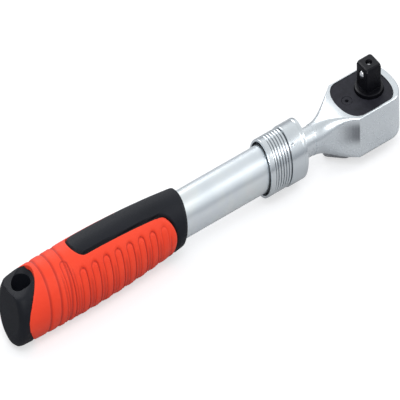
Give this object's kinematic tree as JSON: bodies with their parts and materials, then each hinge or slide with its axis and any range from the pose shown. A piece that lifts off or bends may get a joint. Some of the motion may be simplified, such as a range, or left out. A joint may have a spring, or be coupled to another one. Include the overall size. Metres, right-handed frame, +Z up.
{
  "type": "extendable ratchet handle",
  "caption": "Extendable quick-release ratchet handle with a half-inch square drive, a ribbed locking collar on a steel tube and a two-colour moulded grip with a hang hole.",
  "frame": {"origin": "centre of the collapsed handle's bounding box in plan, on the plane that the grip's belly rests on", "axes": "+X along the handle from the butt to the head, +Z up along the square drive"},
  "size_m": [0.3216, 0.0368, 0.0386],
  "materials": {
    "satin_chrome": "satin chrome plate",
    "polished_steel": "polished ball",
    "steel": "machined",
    "black_oxide": "black oxide on steel",
    "dark_plate": "dark phosphate on steel",
    "bronze": "sintered",
    "nylon": "natural",
    "seal_rubber": "matt",
    "grip_black": "fine texture",
    "grip_orange": "soft touch"
  },
  "bodies": {
    "handle": {"outer_tube": "satin_chrome", "lock_bushing": "steel", "snap_ring": "steel", "stop_ring": "steel", "sleeve_spring": "steel", "tube_plug": "seal_rubber", "grip_core": "grip_black", "grip_cover": "grip_orange"},
    "bar": {"ratchet_head": "satin_chrome", "cover_plate": "dark_plate", "cover_screw": "dark_plate", "thrust_washer": "bronze", "pawl_pin": "steel", "tail_guide": "nylon", "tail_washer": "steel", "tail_screw": "steel"},
    "collar": {"lock_sleeve": "satin_chrome"},
    "ball_top": {"lock_ball_top": "polished_steel"},
    "ball_bottom": {"lock_ball_bottom": "polished_steel"},
    "drive": {"drive_anvil": "black_oxide", "button_clip": "steel", "release_spring": "steel"},
    "button": {"release_button": "steel", "release_pin": "steel"},
    "retaining_ball": {"socket_ball": "polished_steel"},
    "lever": {"reverse_lever": "steel", "lever_o_ring": "seal_rubber", "detent_plunger": "steel", "detent_spring": "steel"},
    "pawl": {"pawl": "steel"}
  },
  "joints": [
    {"name": "extension_slide", "type": "slide", "parent": "handle", "child": "bar", "axis": [1, 0, 0], "range_m": [0, 0.132]},
    {"name": "collar_slide", "type": "slide", "parent": "handle", "child": "collar", "axis": [-1, 0, 0], "range_m": [0, 0.006], "stiffness_N_per_m": 600, "springref_m": -0.004, "deforming": ["sleeve_spring"]},
    {"name": "ball_top_slide", "type": "slide", "parent": "handle", "child": "ball_top", "axis": [0, 0, 1], "range_m": [0, 0.00106]},
    {"name": "ball_bottom_slide", "type": "slide", "parent": "handle", "child": "ball_bottom", "axis": [0, 0, -1], "range_m": [0, 0.00106]},
    {"name": "drive_spin", "type": "hinge", "parent": "bar", "child": "drive", "pos_m": [0.14155, 0, 0.0163], "axis": [0, 0, 1], "continuous": true},
    {"name": "release_push", "type": "slide", "parent": "drive", "child": "button", "axis": [0, 0, 1], "range_m": [0, 0.003], "stiffness_N_per_m": 800, "springref_m": -0.001, "deforming": ["release_spring"]},
    {"name": "retaining_ball_slide", "type": "slide", "parent": "drive", "child": "retaining_ball", "axis": [1, 0, 0], "range_m": [0, 0.00091]},
    {"name": "lever_turn", "type": "hinge", "parent": "bar", "child": "lever", "pos_m": [0.12005, 0, 0.0163], "axis": [0, 0, 1], "range_deg": [0, 60]},
    {"name": "pawl_rock", "type": "hinge", "parent": "bar", "child": "pawl", "pos_m": [0.12715, 0, 0.0163], "axis": [0, 0, 1], "range_deg": [-10.01, 0]}
  ],
  "couplings": [
    {"joint": "ball_top_slide", "follows": "collar_slide", "ratio": 0.175},
    {"joint": "ball_bottom_slide", "follows": "collar_slide", "ratio": 0.175},
    {"joint": "retaining_ball_slide", "follows": "release_push", "ratio": 0.3},
    {"joint": "pawl_rock", "follows": "lever_turn", "ratio": -0.16667}
  ]
}
